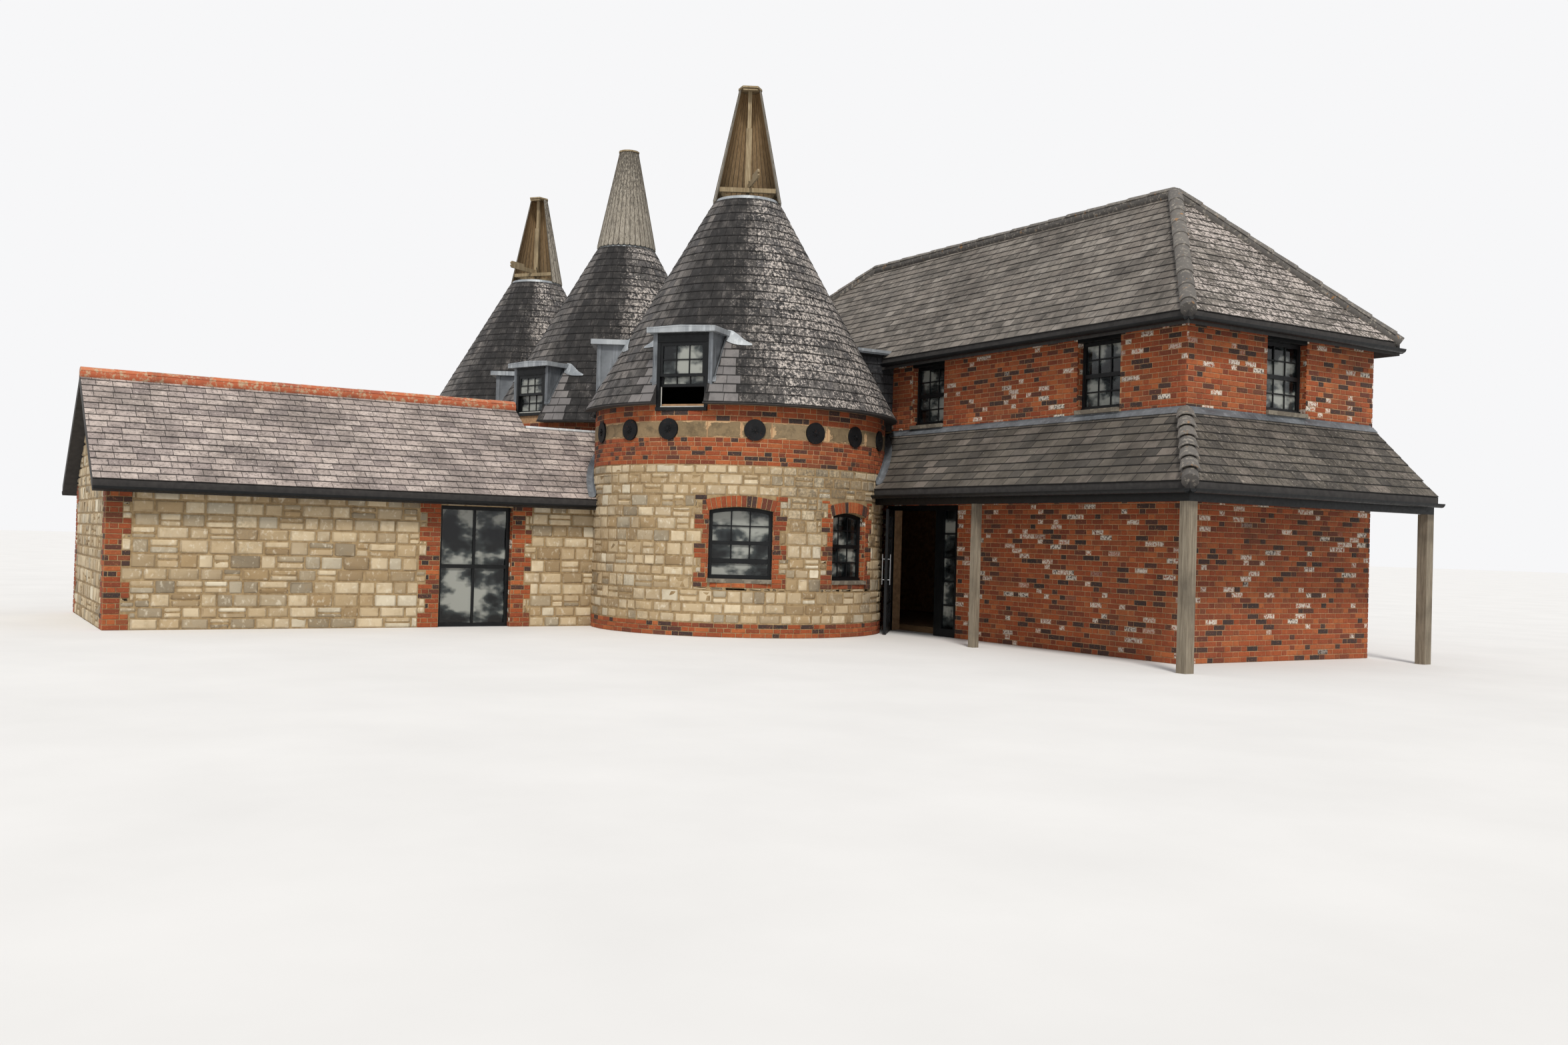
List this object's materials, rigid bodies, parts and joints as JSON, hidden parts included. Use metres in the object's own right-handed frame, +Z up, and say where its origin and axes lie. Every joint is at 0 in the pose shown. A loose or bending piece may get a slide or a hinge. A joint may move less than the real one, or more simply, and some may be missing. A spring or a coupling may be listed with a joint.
{
  "type": "oast house",
  "caption": "Oast house with round kilns under slated cones and turning wooden cowls, a hipped brick stowage, a veranda, and a low stone wing.",
  "frame": {"origin": "on the ground at the axis of kiln 1, the near kiln", "axes": "+X along the kiln row towards the near corner of the stowage, +Y into the stowage, +Z up"},
  "size_m": [20.8853, 16.6066, 9.175],
  "materials": {
    "ragstone": "squared ragstone with lime joints",
    "brick": "soft orange-red brick with dark headers",
    "slate": "weathered slate",
    "clay_tile": "clay ridge tile",
    "lead": "dull weathered lead",
    "cowl_board": "weathered boards, old cream paint",
    "black_iron": "black painted iron",
    "black_paint": "black painted timber",
    "glass": "window glass",
    "sill": "stone sill",
    "oak": "silvered oak",
    "floor": "boards and screed"
  },
  "bodies": {
    "building": {"dormer_cheeks": "lead", "dormer_roofs": "lead", "dormer_sashes": "black_paint", "entrance_frame": "black_paint", "ground_floors": "floor", "gutters": "black_iron", "kiln_1_brick_band": "brick", "kiln_1_cone_roof": "slate", "kiln_1_stone_wall": "ragstone", "kiln_2_brick_band": "brick", "kiln_2_cone_roof": "slate", "kiln_2_stone_wall": "ragstone", "kiln_3_brick_band": "brick", "kiln_3_cone_roof": "slate", "kiln_3_stone_wall": "ragstone", "kiln_curbs": "lead", "lean_to_beam": "black_paint", "lean_to_flashing": "lead", "lean_to_hip_tiles": "slate", "lean_to_posts": "oak", "lean_to_roof_end": "slate", "lean_to_roof_front": "slate", "link_roof": "lead", "link_walls": "slate", "pattress_plates": "black_iron", "sidelight_glass": "glass", "stowage_back_wall": "brick", "stowage_far_end_wall": "brick", "stowage_front_wall_left": "brick", "stowage_front_wall_right": "brick", "stowage_front_wall_upper": "brick", "stowage_near_end_wall": "brick", "stowage_ridge_and_hips": "slate", "stowage_roof_back": "slate", "stowage_roof_far_end": "slate", "stowage_roof_front": "slate", "stowage_roof_near_end": "slate", "upper_floors": "floor", "window_frames": "black_paint", "window_glass": "glass", "window_sills": "sill", "wing_back_wall": "ragstone", "wing_front_wall": "ragstone", "wing_gable_wall": "ragstone", "wing_ridge_tiles": "clay_tile", "wing_roof_back": "slate", "wing_roof_front": "slate", "wing_valley_lead": "lead"},
    "cowl_1": {"cowl_1_boards": "cowl_board", "cowl_1_frame": "cowl_board"},
    "cowl_2": {"cowl_2_boards": "cowl_board", "cowl_2_frame": "cowl_board"},
    "cowl_3": {"cowl_3_boards": "cowl_board", "cowl_3_frame": "cowl_board"},
    "entrance_door": {"entrance_door": "black_paint", "entrance_door_glass": "glass"}
  },
  "joints": [
    {"name": "cowl_1_turn", "type": "hinge", "parent": "building", "child": "cowl_1", "pos_m": [0, 0, 7.09], "axis": [0, 0, 1], "continuous": true},
    {"name": "cowl_2_turn", "type": "hinge", "parent": "building", "child": "cowl_2", "pos_m": [-4.76, 0, 7.09], "axis": [0, 0, 1], "continuous": true},
    {"name": "cowl_3_turn", "type": "hinge", "parent": "building", "child": "cowl_3", "pos_m": [-9.52, 0, 7.09], "axis": [0, 0, 1], "continuous": true},
    {"name": "entrance_door_hinge", "type": "hinge", "parent": "building", "child": "entrance_door", "pos_m": [1.01, 2.4483, 1], "axis": [0, 0, 1], "range_deg": [0, 40]}
  ]
}
